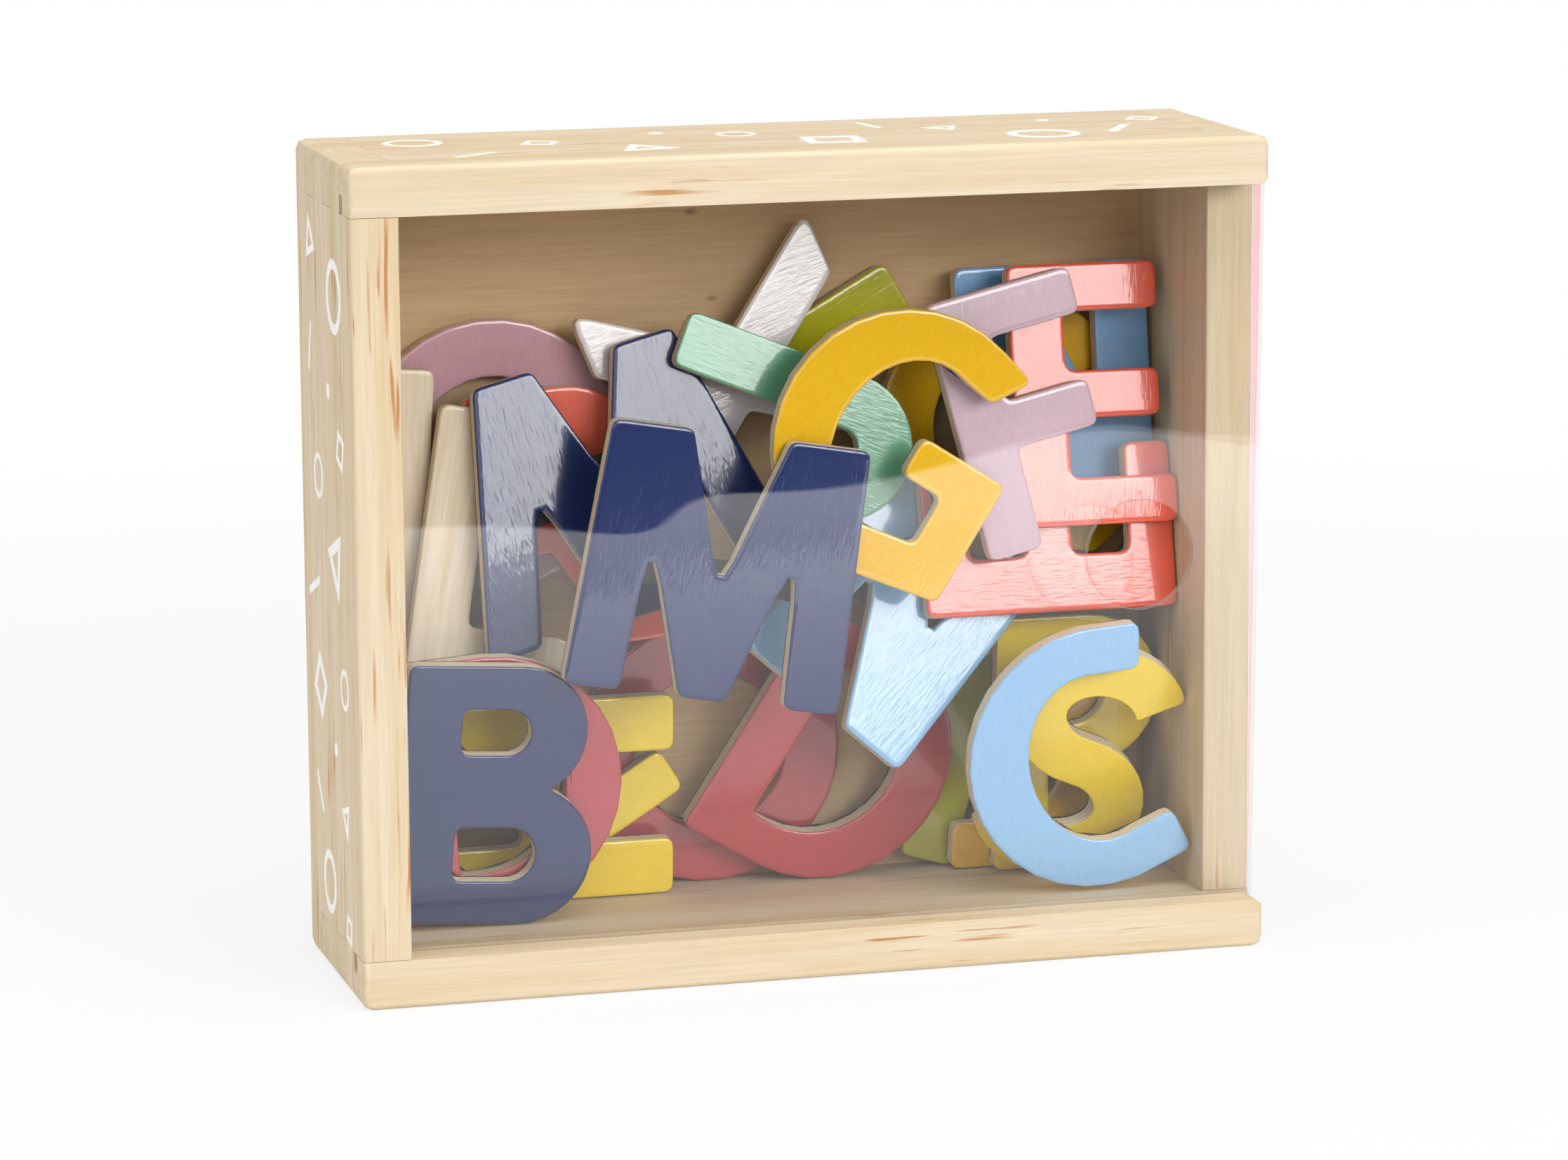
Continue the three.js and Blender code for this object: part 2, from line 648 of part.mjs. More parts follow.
// The nearest and farthest depth of a letter at each grid point that it covers
function depthsOf(letter) {
  const nearest = new Map();
  const farthest = new Map();
  letter.updateMatrixWorld(true);
  letter.traverse((mesh) => {
    if (!mesh.isMesh) return;
    const corners = mesh.geometry.attributes.position;
    const points = Array.from({ length: corners.count }, (_, i) => (
      new THREE.Vector3().fromBufferAttribute(corners, i).applyMatrix4(mesh.matrixWorld)
    ));
    const visit = (cell, depth) => {
      nearest.set(cell, Math.min(nearest.get(cell) ?? Infinity, depth));
      farthest.set(cell, Math.max(farthest.get(cell) ?? -Infinity, depth));
    };
    for (let i = 0; i < points.length; i += 3) {
      const [a, b, c] = points.slice(i, i + 3);
      mapFace(a, b, c, visit);
      mapEdge(a, b, visit);
      mapEdge(b, c, visit);
      mapEdge(c, a, visit);
    }
  });
  return { nearest, farthest };
}

// Pushes a letter to the back until it rests on the heap, and adds it to the heap's front.
function layOnHeap(letter, heapFront) {
  const { nearest, farthest } = depthsOf(letter);
  let depth = Infinity;
  farthest.forEach((y, cell) => { depth = Math.min(depth, heapFront[cell] - seatGap - y); });
  letter.position.y += depth;
  nearest.forEach((y, cell) => { heapFront[cell] = Math.min(heapFront[cell], y + depth); });
}

// A letter in the middle of its depth, with the share of its lean that the heap leaves it
function letterOf({ name, glyph, paint, across, up, turn, lean }, leanShare) {
  const letter = new THREE.Group();
  const plane = new THREE.Group();
  letter.rotation.x = Math.PI / 2 - degToRad(lean * leanShare);
  plane.rotation.z = degToRad(turn);
  letter.add(plane);
  const ply = addMesh(plane, name, slabOf(glyph, plyThickness, plyFineness), paints[paint], 0.3);
  ply.position.z = foilThickness + glueLine;
  addMesh(plane, `${name}_magnet`, slabOf(glyph, foilThickness, foilFineness), foilBlack, 0.7);
  const box = new THREE.Box3().setFromObject(letter, true);
  const roomX = innerRight - innerLeft - 2 * seatGap - (box.max.x - box.min.x);
  const roomZ = innerCeiling - innerFloor - 2 * seatGap - (box.max.z - box.min.z);
  letter.position.x = innerLeft + seatGap + across * roomX - box.min.x;
  letter.position.z = innerFloor + seatGap + up * roomZ - box.min.z;
  return letter;
}

function heapOf(leanShare) {
  const heapFront = new Float64Array(mapColumns * mapRows).fill(panelFront);
  const letters = heap.map((entry) => {
    const letter = letterOf(entry, leanShare);
    layOnHeap(letter, heapFront);
    return letter;
  });
  const front = heapFront.reduce((nearest, y) => Math.min(nearest, y));
  return { letters, front };
}

// Where the box leaves the heap too little depth, the letters lean less, until the lid clears them.
let leanShare = 1;
let laid = heapOf(leanShare);
while (laid.front < lidBack + lidClearance && leanShare > leanStep) {
  leanShare -= leanStep;
  laid = heapOf(leanShare);
}
model.add(...laid.letters);

export default model;
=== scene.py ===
# Looks of the magnetic letter set: a sanded pine box, its clear sliding lid and a heap of lacquered letters.
import json
import math

import bmesh
import bpy
from mathutils import Matrix, Vector


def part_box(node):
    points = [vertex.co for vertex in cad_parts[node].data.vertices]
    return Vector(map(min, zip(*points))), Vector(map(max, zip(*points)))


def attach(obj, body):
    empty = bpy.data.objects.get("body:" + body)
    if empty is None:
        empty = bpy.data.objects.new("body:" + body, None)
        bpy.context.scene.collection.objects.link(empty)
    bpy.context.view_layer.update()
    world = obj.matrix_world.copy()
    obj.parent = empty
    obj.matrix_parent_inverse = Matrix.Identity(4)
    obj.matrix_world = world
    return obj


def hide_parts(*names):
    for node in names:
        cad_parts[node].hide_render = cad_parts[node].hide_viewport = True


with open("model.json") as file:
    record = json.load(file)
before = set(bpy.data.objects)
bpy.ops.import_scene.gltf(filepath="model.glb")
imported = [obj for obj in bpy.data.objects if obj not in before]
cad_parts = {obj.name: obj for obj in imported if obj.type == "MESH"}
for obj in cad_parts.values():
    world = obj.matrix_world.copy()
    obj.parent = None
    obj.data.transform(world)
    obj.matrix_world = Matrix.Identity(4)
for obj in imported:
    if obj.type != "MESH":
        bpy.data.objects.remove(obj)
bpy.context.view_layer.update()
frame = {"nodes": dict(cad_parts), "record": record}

mm = 0.001
noiseSpan = (0.3, 0.7)   # nearly all values of a noise pattern lie between these


# Small helpers

def hexColour(code):
    # sRGB hex to the linear colour that the shaders use
    shares = [int(code[i:i + 2], 16) / 255 for i in (0, 2, 4)]
    linear = [s / 12.92 if s <= 0.04045 else ((s + 0.055) / 1.055) ** 2.4 for s in shares]
    return (*linear, 1.0)


def addNode(tree, kind, inputs=None, **settings):
    # inputs maps a socket's name or number to a value or to the socket that feeds it;
    # a Mix node's sockets have numbers: its colours are inputs 6 and 7 and output 2
    node = tree.nodes.new(kind)
    for name, value in settings.items():
        setattr(node, name, value)
    for key, value in (inputs or {}).items():
        if isinstance(value, bpy.types.NodeSocket):
            tree.links.new(value, node.inputs[key])
        else:
            node.inputs[key].default_value = value
    return node


def newMaterial(name):
    material = bpy.data.materials.new(name)
    material.use_nodes = True
    material.node_tree.nodes.clear()
    return material, material.node_tree


def shadeColour(tree, colour, noise, tones):
    # the colour, darker and lighter with the noise, between two shares of its brightness
    low, high = noiseSpan
    dark, light = tones
    shade = addNode(tree, "ShaderNodeMapRange", {
        "Value": noise, "From Min": low, "From Max": high, "To Min": dark, "To Max": light,
    })
    shaded = addNode(tree, "ShaderNodeVectorMath", {
        0: colour, "Scale": shade.outputs["Result"],
    }, operation="SCALE")
    return shaded.outputs["Vector"]


def blendColours(tree, dark, light, pattern, span):
    # from the dark colour to the light one while the pattern's value goes over the span
    low, high = span
    share = addNode(tree, "ShaderNodeMapRange", {"Value": pattern, "From Min": low, "From Max": high})
    blend = addNode(tree, "ShaderNodeMix", {
        0: share.outputs["Result"], 6: hexColour(dark), 7: hexColour(light),
    }, data_type="RGBA")
    return blend.outputs[2]


def selectOnly(piece):
    bpy.ops.object.select_all(action="DESELECT")
    piece.select_set(True)
    bpy.context.view_layer.objects.active = piece


copySpec = {"mergeWithin": 0.002, "flatWithin": 0.6}   # mm between doubles, degrees within one flat face


def cleanCopy(nodeName, pieceName):
    # a node's mesh with its doubles merged and its flat faces whole, as a piece that can be shaped
    piece = bpy.data.objects.new(pieceName, frame["nodes"][nodeName].data.copy())
    bpy.context.scene.collection.objects.link(piece)
    piece.data.materials.clear()
    selectOnly(piece)
    bpy.ops.mesh.customdata_custom_splitnormals_clear()
    bpy.ops.object.mode_set(mode="EDIT")
    bpy.ops.mesh.select_all(action="SELECT")
    bpy.ops.mesh.remove_doubles(threshold=copySpec["mergeWithin"] * mm)
    bpy.ops.mesh.dissolve_limited(angle_limit=math.radians(copySpec["flatWithin"]))
    bpy.ops.object.mode_set(mode="OBJECT")
    return piece


easeSpec = {"sharpFrom": 60, "steps": 2}   # degrees between a sharp edge's faces, facets of its rounding


def easeLongEdges(piece, rounding, shortest):
    # sharp edges longer than the shortest get the rounding, both in mm
    selectOnly(piece)
    bpy.ops.object.mode_set(mode="EDIT")
    bpy.ops.mesh.select_all(action="DESELECT")
    shape = bmesh.from_edit_mesh(piece.data)
    for edge in shape.edges:
        sharp = len(edge.link_faces) == 2 and edge.calc_face_angle() > math.radians(easeSpec["sharpFrom"])
        edge.select = sharp and edge.calc_length() > shortest * mm
    bmesh.update_edit_mesh(piece.data)
    bpy.ops.mesh.bevel(offset=rounding * mm, segments=easeSpec["steps"], affect="EDGES", clamp_overlap=True)
    bpy.ops.object.mode_set(mode="OBJECT")


def smoothPiece(piece, degrees):
    selectOnly(piece)
    bpy.ops.object.shade_smooth_by_angle(angle=math.radians(degrees))
    weighted = piece.modifiers.new("flatFaces", "WEIGHTED_NORMAL")
    weighted.keep_sharp = True
    bpy.ops.object.modifier_apply(modifier=weighted.name)


# Camera, at the photograph's viewing angle

cameraSpec = {
    "place": (-323.3, -1192.3, 310.4),         # mm
    "forward": (0.25733, 0.94900, -0.18214),
    "roll": 0.36,                              # degrees
    "lens": 132.96, "sensor": 36.0,            # mm
    "clip": (0.05, 50),                        # m
}


def addCamera(spec):
    data = bpy.data.cameras.new("camera")
    data.lens = spec["lens"]
    data.sensor_fit = "HORIZONTAL"
    data.sensor_width = spec["sensor"]
    data.clip_start, data.clip_end = spec["clip"]
    camera = bpy.data.objects.new("camera", data)
    bpy.context.scene.collection.objects.link(camera)
    forward = Vector(spec["forward"]).normalized()
    turn = forward.to_track_quat("-Z", "Y").to_matrix().to_4x4()
    roll = Matrix.Rotation(math.radians(spec["roll"]), 4, forward)
    camera.matrix_world = Matrix.Translation(Vector(spec["place"]) * mm) @ roll @ turn
    bpy.context.scene.camera = camera


addCamera(cameraSpec)
print("camera set")


# Woods of the box. A span holds the pattern values at which a colour or a mark starts and is full.

grainX = {"axis": Vector((1, 0, 0)), "turn": (0, 0, 0)}
grainZ = {"axis": Vector((0, 0, 1)), "turn": (0, math.radians(90), 0)}

pineSpec = {
    "light": "d9c8ad", "dark": "cfb78f", "resin": "b0712f",
    "ringWidth": 6.5, "ringLength": 190.0,      # mm across and along the grain
    "ringSpan": (0.3, 0.62),
    "fibreWidth": 0.7, "fibreLength": 26.0,     # mm
    "fibreTones": (0.9, 1.03),
    "fibreDepth": 0.12, "fibreRelief": 0.25,    # mm, and the share of it that the bump shows
    "streakWidth": 0.9, "streakLength": 18.0,   # mm
    "streakSpan": (0.6, 0.68), "streakStrength": 0.85,
    "patchWidth": 8.1, "patchLength": 54.0,     # mm: streaks come in patches
    "patchSpan": (0.62, 0.7),
    "roughness": 0.6, "specular": 0.35,
}


def grainPlace(tree, turn, along, across):
    # object coordinates turned so that the grain runs along X, counted in grain lengths and widths
    place = addNode(tree, "ShaderNodeTexCoord")
    turned = addNode(tree, "ShaderNodeMapping", {"Vector": place.outputs["Object"], "Rotation": turn})
    size = (1 / (along * mm), 1 / (across * mm), 1 / (across * mm))
    counted = addNode(tree, "ShaderNodeMapping", {"Vector": turned.outputs["Vector"], "Scale": size})
    return counted.outputs["Vector"]


def sandedPine(name, turn, resinShare, spec):
    # planed and sanded softwood: pale growth rings, silky fibres and a few short orange resin streaks
    material, tree = newMaterial(name)
    rings = addNode(tree, "ShaderNodeTexNoise", {
        "Vector": grainPlace(tree, turn, spec["ringLength"], spec["ringWidth"]),
        "Scale": 1.0, "Detail": 4.0, "Roughness": 0.62, "Distortion": 0.4,
    })
    ringed = blendColours(tree, spec["dark"], spec["light"], rings.outputs["Fac"], spec["ringSpan"])
    fibres = addNode(tree, "ShaderNodeTexNoise", {
        "Vector": grainPlace(tree, turn, spec["fibreLength"], spec["fibreWidth"]),
        "Scale": 1.0, "Detail": 3.0, "Roughness": 0.6,
    })
    fibred = shadeColour(tree, ringed, fibres.outputs["Fac"], spec["fibreTones"])
    streaks = addNode(tree, "ShaderNodeTexNoise", {
        "Vector": grainPlace(tree, turn, spec["streakLength"], spec["streakWidth"]),
        "Scale": 1.0, "Detail": 0.5,
    })
    streakLow, streakHigh = spec["streakSpan"]
    streakLine = addNode(tree, "ShaderNodeMapRange", {
        "Value": streaks.outputs["Fac"], "From Min": streakLow, "From Max": streakHigh,
        "To Min": 0.0, "To Max": spec["streakStrength"],
    })
    patches = addNode(tree, "ShaderNodeTexNoise", {
        "Vector": grainPlace(tree, turn, spec["patchLength"], spec["patchWidth"]), "Scale": 1.0,
    })
    patchLow, patchHigh = spec["patchSpan"]
    patch = addNode(tree, "ShaderNodeMapRange", {
        "Value": patches.outputs["Fac"],
        "From Min": patchLow - resinShare, "From Max": patchHigh - resinShare,
    })
    streak = addNode(tree, "ShaderNodeMath", {
        0: streakLine.outputs["Result"], 1: patch.outputs["Result"],
    }, operation="MULTIPLY")
    streaked = addNode(tree, "ShaderNodeMix", {
        0: streak.outputs["Value"], 6: fibred, 7: hexColour(spec["resin"]),
    }, data_type="RGBA")
    bump = addNode(tree, "ShaderNodeBump", {
        "Height": fibres.outputs["Fac"], "Strength": spec["fibreRelief"], "Distance": spec["fibreDepth"] * mm,
    })
    shader = addNode(tree, "ShaderNodeBsdfPrincipled", {
        "Base Color": streaked.outputs[2], "Roughness": spec["roughness"], "IOR": 1.5,
        "Specular IOR Level": spec["specular"], "Normal": bump.outputs["Normal"],
    })
    addNode(tree, "ShaderNodeOutputMaterial", {"Surface": shader.outputs["BSDF"]})
    return material


endGrainSpec = {
    "light": "d9c8aa", "dark": "c6b290",
    "pore": 0.7, "ring": 3.0,               # mm
    "toneSpan": (0.7, 1.3),                 # of pores and rings added up
    "poreDepth": 0.1, "poreRelief": 0.2,    # mm, and the share of it that the bump shows
    "roughness": 0.72,
}


def pineEndGrain(name, spec):
    # sawn end grain under sandpaper: greyer than the long grain, with pores and faint rings
    material, tree = newMaterial(name)
    place = addNode(tree, "ShaderNodeTexCoord")
    pores = addNode(tree, "ShaderNodeTexNoise", {
        "Vector": place.outputs["Object"], "Scale": 1 / (spec["pore"] * mm), "Detail": 3.0,
    })
    rings = addNode(tree, "ShaderNodeTexNoise", {
        "Vector": place.outputs["Object"], "Scale": 1 / (spec["ring"] * mm),
        "Detail": 1.0, "Distortion": 1.2,
    })
    both = addNode(tree, "ShaderNodeMath", {
        0: pores.outputs["Fac"], 1: rings.outputs["Fac"],
    }, operation="ADD")
    bump = addNode(tree, "ShaderNodeBump", {
        "Height": pores.outputs["Fac"], "Strength": spec["poreRelief"], "Distance": spec["poreDepth"] * mm,
    })
    toned = blendColours(tree, spec["dark"], spec["light"], both.outputs["Value"], spec["toneSpan"])
    shader = addNode(tree, "ShaderNodeBsdfPrincipled", {
        "Base Color": toned, "Roughness": spec["roughness"], "IOR": 1.5, "Normal": bump.outputs["Normal"],
    })
    addNode(tree, "ShaderNodeOutputMaterial", {"Surface": shader.outputs["BSDF"]})
    return material


panelSpec = {
    "light": "d8b98e", "dark": "c9a77d", "speck": "7a583a",
    "grainWidth": 0.9, "grainLength": 22.0,     # mm
    "grainSpan": (0.32, 0.68),
    "grainDepth": 0.1, "grainRelief": 0.2,      # mm, and the share of it that the bump shows
    "speckGap": 14.0, "speckStretch": 2,        # mm between specks, and how many times that along the grain
    "speckEdge": (0.03, 0.07), "speckStrength": 0.6,   # edge in shares of the gap
    "roughness": 0.6,
}


def panelVeneer(name, spec):
    # rotary-cut plywood veneer: wide soft figure, short pores and a few dark specks
    material, tree = newMaterial(name)
    figure = addNode(tree, "ShaderNodeTexNoise", {
        "Vector": grainPlace(tree, grainX["turn"], spec["grainLength"], spec["grainWidth"]),
        "Scale": 1.0, "Detail": 4.0, "Roughness": 0.65, "Distortion": 0.6,
    })
    figured = blendColours(tree, spec["dark"], spec["light"], figure.outputs["Fac"], spec["grainSpan"])
    speckGap = spec["speckGap"]
    specks = addNode(tree, "ShaderNodeTexVoronoi", {
        "Vector": grainPlace(tree, grainX["turn"], spec["speckStretch"] * speckGap, speckGap), "Scale": 1.0,
    })
    inner, outer = spec["speckEdge"]
    speck = addNode(tree, "ShaderNodeMapRange", {
        "Value": specks.outputs["Distance"], "From Min": inner, "From Max": outer,
        "To Min": spec["speckStrength"], "To Max": 0.0,
    })
    specked = addNode(tree, "ShaderNodeMix", {
        0: speck.outputs["Result"], 6: figured, 7: hexColour(spec["speck"]),
    }, data_type="RGBA")
    bump = addNode(tree, "ShaderNodeBump", {
        "Height": figure.outputs["Fac"], "Strength": spec["grainRelief"], "Distance": spec["grainDepth"] * mm,
    })
    shader = addNode(tree, "ShaderNodeBsdfPrincipled", {
        "Base Color": specked.outputs[2], "Roughness": spec["roughness"], "IOR": 1.5,
        "Normal": bump.outputs["Normal"],
    })
    addNode(tree, "ShaderNodeOutputMaterial", {"Surface": shader.outputs["BSDF"]})
    return material


# Box boards: each is its solid with the long edges eased as by sandpaper

boards = {   # the way the grain runs, and how far resin streaks spread
    "top_wall": {"grain": grainX, "resin": 0.05},
    "bottom_wall": {"grain": grainX, "resin": 0.03},
    "left_wall": {"grain": grainZ, "resin": 0.09},
    "right_wall": {"grain": grainZ, "resin": 0.02},
}
boardSpec = {
    "easedEdge": 0.45, "easedFrom": 40.0,   # mm: rounding, and the shortest edge that gets it
    "endFrom": 0.9,                         # cosine to the grain from which a face is end grain
    "smooth": 50,                           # degrees
    "slot": "pine",
}


def dressBoards(spec):
    endGrain = pineEndGrain("pine end grain, sanded", endGrainSpec)
    for name, board in boards.items():
        grain = board["grain"]
        piece = cleanCopy(name, name + "_board")
        easeLongEdges(piece, spec["easedEdge"], spec["easedFrom"])
        pine = sandedPine("sanded pine, " + name, grain["turn"], board["resin"], pineSpec)
        piece.data.materials.append(pine)
        piece.data.materials.append(endGrain)
        for face in piece.data.polygons:
            face.material_index = 1 if abs(face.normal.dot(grain["axis"])) > spec["endFrom"] else 0
        smoothPiece(piece, spec["smooth"])
        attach(piece, "box_and_pile")
        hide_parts(name)


def dressPanel(spec):
    panel = frame["nodes"]["back_panel"]
    panel.data.materials.clear()
    panel.data.materials.append(panelVeneer("plywood veneer", spec))


dressBoards(boardSpec)
dressPanel(panelSpec)
print("box dressed")


# Letters

letterSpec = {
    "rimWidth": 1.3, "rimDrop": 0.42,   # mm: how far in the lacquer starts to fall, and how far it falls
    "rimSteps": 4, "rimCurve": 1.5,     # a power above 1 keeps the fall shallow at its start
    "rimSlack": 0.01,                   # share of its width by which the rim's lowest points may lie deeper
    "tight": ("mint_j_letter", "yellow_s_letter"),   # their tight corners would cross in a full rim
    "faceFrom": 0.99, "edgeTo": 0.5,    # cosines to the front: a letter's face is above, its edge below
    "smooth": 40,                       # degrees
}
letterTurns = {   # degrees, anticlockwise: the veneer's grain runs up each letter
    "natural_i": -4, "natural_l": -10, "lime_i": -61, "lime_f": -17, "ochre_c": 190, "ochre_g": -33,
    "orange_r": 5, "yellow_h": 90, "yellow_l": 32, "yellow_s": -19, "dark_red_d": -31, "white_x": -69,
    "navy_b": -4, "navy_m": -10, "navy_w": 194.5, "light_blue_c": 15, "light_blue_n": -42,
    "mint_j": 67.5, "rose_d": 4, "coral_e_lying": 90, "lilac_f": 13,
}
lacquers = {
    "mauve": "d0a2ae", "lilac": "cdafbc", "ochre": "edb90a", "yellow": "f6d61a", "lime": "b8b60e",
    "dark_red": "b8444a", "rose": "ba4a52", "orange_red": "ff775f", "coral": "ea5c44", "white": "e1dcdc",
    "navy": "1c2e63", "steel_blue": "79aee0", "light_blue": "8fbde5", "mint": "6bae87",
}
lacquerSpec = {
    "rippleWidth": 1.0, "rippleLength": 5.0, "rippleDepth": 0.013,   # mm: the film over the veneer's grain
    "fibreWidth": 0.45, "fibreLength": 3.5, "fibreDepth": 0.010,     # mm
    "fibreTones": (0.96, 1.04),
    "poreWidth": 0.4, "poreLength": 4.0, "poreDepth": 0.006,         # mm: drawn wide enough to show
    "poreSpan": (0.61, 0.75),
    "roughness": 0.22, "coatRoughness": 0.035,
}


def letterGrain(tree, along, across):
    # the letter's own map, counted in grain lengths and widths
    letterMap = addNode(tree, "ShaderNodeUVMap", uv_map="grain")
    size = (1 / (across * mm), 1 / (along * mm), 1.0)
    counted = addNode(tree, "ShaderNodeMapping", {"Vector": letterMap.outputs["UV"], "Scale": size})
    return counted.outputs["Vector"]


def glossLacquer(name, code, spec):
    # sprayed gloss lacquer on birch plywood: a deep even colour, and a film that follows the veneer's grain,
    # so a lamp's mirror image has ragged edges along it
    material, tree = newMaterial(name)
    ripple = addNode(tree, "ShaderNodeTexNoise", {
        "Vector": letterGrain(tree, spec["rippleLength"], spec["rippleWidth"]), "Scale": 1.0, "Detail": 2.0,
    })
    fibres = addNode(tree, "ShaderNodeTexNoise", {
        "Vector": letterGrain(tree, spec["fibreLength"], spec["fibreWidth"]), "Scale": 1.0, "Detail": 1.0,
    })
    pores = addNode(tree, "ShaderNodeTexNoise", {
        "Vector": letterGrain(tree, spec["poreLength"], spec["poreWidth"]), "Scale": 1.0, "Detail": 0.0,
    })
    poreEdge, poreFloor = spec["poreSpan"]
    poreCut = addNode(tree, "ShaderNodeMapRange", {
        "Value": pores.outputs["Fac"], "From Min": poreEdge, "From Max": poreFloor,
        "To Min": 1.0, "To Max": 0.0,
    })
    rippled = addNode(tree, "ShaderNodeBump", {
        "Height": ripple.outputs["Fac"], "Strength": 1.0, "Distance": spec["rippleDepth"] * mm,
    })
    fibred = addNode(tree, "ShaderNodeBump", {
        "Height": fibres.outputs["Fac"], "Strength": 1.0, "Distance": spec["fibreDepth"] * mm,
        "Normal": rippled.outputs["Normal"],
    })
    pored = addNode(tree, "ShaderNodeBump", {
        "Height": poreCut.outputs["Result"], "Strength": 1.0, "Distance": spec["poreDepth"] * mm,
        "Normal": fibred.outputs["Normal"],
    })
    shader = addNode(tree, "ShaderNodeBsdfPrincipled", {
        "Base Color": shadeColour(tree, hexColour(code)[:3], fibres.outputs["Fac"], spec["fibreTones"]),
        "Roughness": spec["roughness"], "IOR": 1.5,
        "Coat Weight": 1.0, "Coat Roughness": spec["coatRoughness"], "Coat IOR": 1.5,
        "Normal": pored.outputs["Normal"], "Coat Normal": pored.outputs["Normal"],
    })
    addNode(tree, "ShaderNodeOutputMaterial", {"Surface": shader.outputs["BSDF"]})
    return material


birchSpec = {
    "light": "f3e8d2", "dark": "e2cfae",
    "grainWidth": 1.6, "grainLength": 30.0,     # mm
    "grainSpan": (0.34, 0.66),
    "grainDepth": 0.06, "grainRelief": 0.2,     # mm, and the share of it that the bump shows
    "roughness": 0.34, "coat": 0.5, "coatRoughness": 0.15,
}


def lacqueredBirch(name, spec):
    # birch plywood under thin clear lacquer: pale, with short fine pores along the letter's stem
    material, tree = newMaterial(name)
    figure = addNode(tree, "ShaderNodeTexNoise", {
        "Vector": letterGrain(tree, spec["grainLength"], spec["grainWidth"]),
        "Scale": 1.0, "Detail": 4.0, "Roughness": 0.65, "Distortion": 0.3,
    })
    figured = blendColours(tree, spec["dark"], spec["light"], figure.outputs["Fac"], spec["grainSpan"])
    bump = addNode(tree, "ShaderNodeBump", {
        "Height": figure.outputs["Fac"], "Strength": spec["grainRelief"], "Distance": spec["grainDepth"] * mm,
    })
    shader = addNode(tree, "ShaderNodeBsdfPrincipled", {
        "Base Color": figured, "Roughness": spec["roughness"], "IOR": 1.5,
        "Coat Weight": spec["coat"], "Coat Roughness": spec["coatRoughness"],
        "Normal": bump.outputs["Normal"],
    })
    addNode(tree, "ShaderNodeOutputMaterial", {"Surface": shader.outputs["BSDF"]})
    return material


plySpec = {
    "light": "f0e2c8", "dark": "cdb794", "line": "a48a68",
    "layers": 3.0,
    "stops": (                      # places within a layer, in shares of it, and the colours there
        (0.0, "line"), (0.14, "light"), (0.62, "light"), (0.9, "dark"),
    ),
    "fibre": 0.5,                   # mm
    "fibreTones": (0.82, 1.05),
    "wander": 0.12,                 # how far the fibres shift the layers, in shares of the thickness
    "roughness": 0.7,
}


def sawnPlyEdge(name, spec):
    # sawn edge of birch plywood: pale plies with darker cross plies and thin glue lines between them
    material, tree = newMaterial(name)
    place = addNode(tree, "ShaderNodeTexCoord")
    depth = addNode(tree, "ShaderNodeAttribute", attribute_name="plyDepth")
    fibres = addNode(tree, "ShaderNodeTexNoise", {
        "Vector": place.outputs["Object"], "Scale": 1 / (spec["fibre"] * mm), "Detail": 3.0,
    })
    wandering = addNode(tree, "ShaderNodeMath", {
        0: fibres.outputs["Fac"], 1: spec["wander"], 2: depth.outputs["Fac"],
    }, operation="MULTIPLY_ADD")
    layer = addNode(tree, "ShaderNodeMath", {
        0: wandering.outputs["Value"], 1: spec["layers"],
    }, operation="MULTIPLY")
    within = addNode(tree, "ShaderNodeMath", {0: layer.outputs["Value"]}, operation="FRACT")
    plies = addNode(tree, "ShaderNodeValToRGB", {"Fac": within.outputs["Value"]})
    stops = plies.color_ramp.elements
    while len(stops) < len(spec["stops"]):
        stops.new(1.0)
    for stop, (share, tone) in zip(stops, spec["stops"]):
        stop.position = share
        stop.color = hexColour(spec[tone])
    shader = addNode(tree, "ShaderNodeBsdfPrincipled", {
        "Base Color": shadeColour(tree, plies.outputs["Color"], fibres.outputs["Fac"], spec["fibreTones"]),
        "Roughness": spec["roughness"], "IOR": 1.5,
    })
    addNode(tree, "ShaderNodeOutputMaterial", {"Surface": shader.outputs["BSDF"]})
    return material


foilSpec = {
    "colour": "1b1b1f",
    "pebble": 0.4, "pebbleDepth": 0.05, "pebbleRelief": 0.3,   # mm, mm, and the share that the bump shows
    "tones": (0.8, 1.2),
    "roughness": 0.62,
    "slot": "magnetic_foil",
}


def magnetFoil(name, spec):
    # calendered flexible magnet sheet: black, matt, with a faint pebble
    material, tree = newMaterial(name)
    place = addNode(tree, "ShaderNodeTexCoord")
    pebble = addNode(tree, "ShaderNodeTexNoise", {
        "Vector": place.outputs["Object"], "Scale": 1 / (spec["pebble"] * mm), "Detail": 2.0,
    })
    black = shadeColour(tree, hexColour(spec["colour"])[:3], pebble.outputs["Fac"], spec["tones"])
    bump = addNode(tree, "ShaderNodeBump", {
        "Height": pebble.outputs["Fac"],
        "Strength": spec["pebbleRelief"], "Distance": spec["pebbleDepth"] * mm,
    })
    shader = addNode(tree, "ShaderNodeBsdfPrincipled", {
        "Base Color": black, "Roughness": spec["roughness"], "IOR": 1.5, "Normal": bump.outputs["Normal"],
    })
    addNode(tree, "ShaderNodeOutputMaterial", {"Surface": shader.outputs["BSDF"]})
    return material


def frontOf(piece):
    # the outward normal of a letter's face, which is its largest face as seen from the lid
    return max(piece.data.polygons, key=lambda face: -face.normal.y * face.area).normal.copy()


